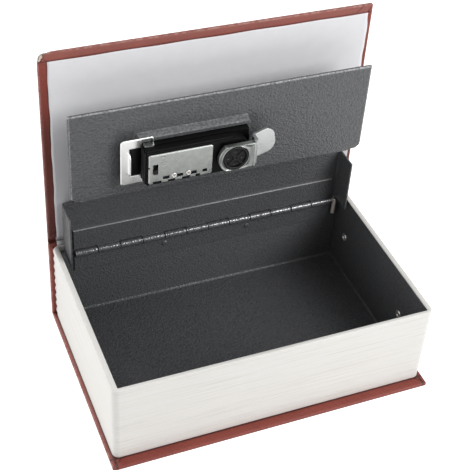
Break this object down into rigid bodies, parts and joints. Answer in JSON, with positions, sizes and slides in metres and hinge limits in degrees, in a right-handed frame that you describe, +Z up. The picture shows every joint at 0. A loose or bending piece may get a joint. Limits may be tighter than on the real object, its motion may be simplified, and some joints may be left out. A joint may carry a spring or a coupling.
{
  "type": "book diversion safe",
  "caption": "Hollow book that hides a steel cash box with a hinged steel lid, locked by a number-dial combination lock with a turn knob and cam latch.",
  "frame": {"origin": "middle of the footprint of the book, on the underside of the back cover", "axes": "+X along the book's long side (to the right when one faces its front edge), +Y towards the spine, +Z up; the front cover and the lid both stand open"},
  "size_m": [0.176, 0.1164, 0.1698],
  "materials": {
    "leatherette": "fine-grained reddish-brown book leatherette",
    "greyboard": "grey bookbinding board",
    "endpaper": "smooth pale grey-white paper",
    "page_plastic": "off-white moulded plastic with fine page lines",
    "powder_coat": "dark grey fine-textured powder coat",
    "bare_steel": "plain bright steel",
    "zinc_plate": "bright zinc plate",
    "chrome": "bright nickel plate",
    "black_plastic": "black satin plastic"
  },
  "bodies": {
    "book": {"back_cover_leatherette": "leatherette", "back_cover_board": "greyboard", "back_lining_paper": "endpaper", "spine_leatherette": "leatherette", "spine_board": "greyboard", "page_block_casing": "page_plastic", "steel_box": "powder_coat", "box_rivet_1": "bare_steel", "box_rivet_2": "bare_steel", "box_rivet_3": "bare_steel", "box_rivet_4": "bare_steel", "strike_bracket": "powder_coat", "strike_rivet_1": "bare_steel", "strike_rivet_2": "bare_steel", "hinge_lower_leaf": "powder_coat", "hinge_pin": "bare_steel", "hinge_rivet_1": "powder_coat", "hinge_rivet_2": "powder_coat"},
    "lid": {"steel_lid": "powder_coat", "hinge_upper_leaf": "powder_coat", "lock_body": "black_plastic", "dial_axle": "bare_steel", "dial_cover_plate": "zinc_plate", "cover_rivet_1": "bare_steel", "cover_rivet_2": "bare_steel", "dial_detent_spring": "bare_steel", "outer_bezel": "chrome", "retaining_clip": "chrome"},
    "cover_crease": {"front_cover_crease": "leatherette"},
    "front_cover": {"front_cover_leatherette": "leatherette", "front_cover_board": "greyboard", "front_endpaper": "endpaper"},
    "latch": {"turn_knob": "black_plastic", "cam_latch": "zinc_plate", "cam_cap": "black_plastic"},
    "dial_1": {"number_dial_1": "black_plastic"},
    "dial_2": {"number_dial_2": "black_plastic"},
    "dial_3": {"number_dial_3": "black_plastic"},
    "code_lever": {"code_lever": "black_plastic"}
  },
  "joints": [
    {"name": "lid_hinge", "type": "hinge", "parent": "book", "child": "lid", "pos_m": [0, 0.0518, 0.0464], "axis": [1, 0, 0], "range_deg": [0, 90]},
    {"name": "crease_fold", "type": "hinge", "parent": "book", "child": "cover_crease", "pos_m": [0, 0.05805, 0.0535], "axis": [1, 0, 0], "range_deg": [0, 90]},
    {"name": "cover_hinge", "type": "hinge", "parent": "cover_crease", "child": "front_cover", "pos_m": [0, 0.05805, 0.0561], "axis": [-1, 0, 0], "range_deg": [0, 90]},
    {"name": "latch_turn", "type": "hinge", "parent": "lid", "child": "latch", "pos_m": [0, 0.0352, 0.1178], "axis": [0, -1, 0], "range_deg": [0, 90]},
    {"name": "dial_1_turn", "type": "hinge", "parent": "lid", "child": "dial_1", "pos_m": [-0.035, 0.0322, 0.1178], "axis": [1, 0, 0], "continuous": true},
    {"name": "dial_2_turn", "type": "hinge", "parent": "lid", "child": "dial_2", "pos_m": [-0.0276, 0.0322, 0.1178], "axis": [1, 0, 0], "continuous": true},
    {"name": "dial_3_turn", "type": "hinge", "parent": "lid", "child": "dial_3", "pos_m": [-0.0202, 0.0322, 0.1178], "axis": [1, 0, 0], "continuous": true},
    {"name": "code_lever_slide", "type": "slide", "parent": "lid", "child": "code_lever", "axis": [0, 0, 1], "range_m": [0, 0.0024]}
  ],
  "couplings": [
    {"joint": "crease_fold", "follows": "lid_hinge", "ratio": 1}
  ]
}
